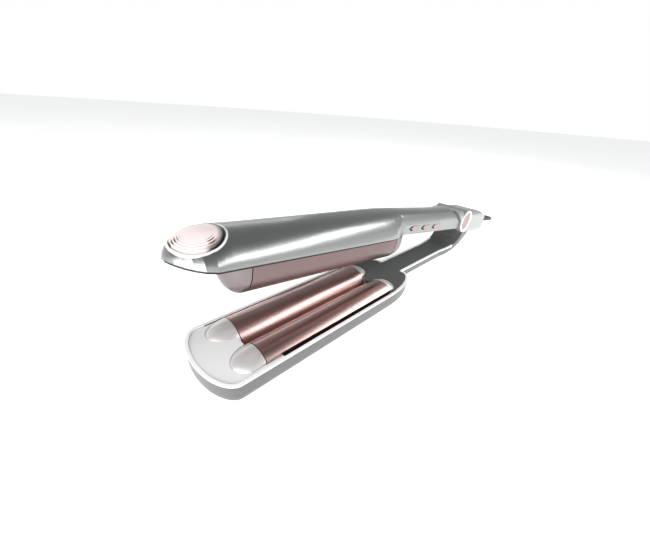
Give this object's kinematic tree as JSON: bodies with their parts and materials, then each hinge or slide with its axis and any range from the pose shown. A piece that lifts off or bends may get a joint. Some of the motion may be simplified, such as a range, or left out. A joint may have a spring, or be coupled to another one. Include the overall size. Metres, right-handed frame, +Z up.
{
  "type": "hair crimper",
  "caption": "Sprung hair waving tongs: one long heated barrel on a hinged upper jaw closes between paired barrels in a tray, with an arched carrying neck and a corded tail block.",
  "frame": {"origin": "on the surface that the tray rests on, under the middle of the object's length and width", "axes": "+X from the jaws' nose to the tail along the arms, +Y to the side away from the buttons, +Z up"},
  "size_m": [0.4217, 0.1115, 0.0786],
  "materials": {
    "board": "lacquered laminate",
    "button": "satin rose",
    "cord_black": "matte black",
    "disc_rose": "satin rose",
    "front_deck": "gloss white",
    "fuse": "tinned",
    "handle_lower": "satin grey",
    "heat_frame": "heat-resistant, plain",
    "heater": "fired",
    "inner_grey": "fine grain",
    "lead": "silicone insulation",
    "nose_panel": "pearl blush",
    "pad": "silicone",
    "plug_pin": "nickel plated",
    "rose_barrel": "polished rose coating",
    "saddle": "satin dark grey",
    "silver_cap": "mirror",
    "spring_steel": "bright wire",
    "steel": "zinc plated",
    "switch": "moulded",
    "tail_silver": "pearl silver",
    "tie": "plain",
    "tray": "satin grey",
    "upper_shell": "glossy pale grey",
    "white_trim": "gloss white"
  },
  "bodies": {
    "lower_arm": {"lower_shell": "tray", "front_deck": "front_deck", "neck_cover": "saddle", "lower_carrier": "heat_frame", "shell_screws": "steel", "lower_leads": "lead", "tail_block": "tail_silver", "hinge_pin": "steel", "hinge_spring": "spring_steel", "strain_relief": "cord_black", "cord": "cord_black", "cord_coil": "cord_black", "cord_tie": "tie", "plug_body": "cord_black", "plug_pins": "plug_pin", "lower_barrel_near": "rose_barrel", "lower_front_cap_near": "silver_cap", "lower_rear_cap_near": "silver_cap", "lower_heater_near": "heater", "lower_heater_pads_near": "pad", "thermal_fuse_near": "fuse", "hinge_ring_near": "white_trim", "hinge_disc_near": "disc_rose", "lower_barrel_far": "rose_barrel", "lower_front_cap_far": "silver_cap", "lower_rear_cap_far": "silver_cap", "lower_heater_far": "heater", "lower_heater_pads_far": "pad", "thermal_fuse_far": "fuse", "hinge_ring_far": "white_trim", "hinge_disc_far": "disc_rose"},
    "upper_arm": {"upper_cover": "upper_shell", "nose_trim": "white_trim", "nose_panel": "nose_panel", "upper_floor": "inner_grey", "upper_carrier": "heat_frame", "upper_barrel": "rose_barrel", "upper_front_cap": "silver_cap", "upper_rear_cap": "silver_cap", "upper_heater": "heater", "upper_heater_pads": "pad", "upper_thermal_fuse": "fuse", "handle_panel": "handle_lower", "handle_frame": "steel", "control_board": "board", "button_switches": "switch", "upper_leads": "lead"},
    "button_1_key": {"button_1": "button"},
    "button_2_key": {"button_2": "button"},
    "button_3_key": {"button_3": "button"}
  },
  "joints": [
    {"name": "jaw_hinge", "type": "hinge", "parent": "lower_arm", "child": "upper_arm", "pos_m": [0.10105, 0, 0.0375], "axis": [0, -1, 0], "range_deg": [0, 7.76], "stiffness_Nm_per_rad": 1.5, "springref_deg": -20.05},
    {"name": "button_1_press", "type": "slide", "parent": "upper_arm", "child": "button_1_key", "axis": [0, 1, 0], "range_m": [0, 0.0006], "stiffness_N_per_m": 400},
    {"name": "button_2_press", "type": "slide", "parent": "upper_arm", "child": "button_2_key", "axis": [0, 1, 0], "range_m": [0, 0.0006], "stiffness_N_per_m": 400},
    {"name": "button_3_press", "type": "slide", "parent": "upper_arm", "child": "button_3_key", "axis": [0, 1, 0], "range_m": [0, 0.0006], "stiffness_N_per_m": 400}
  ]
}
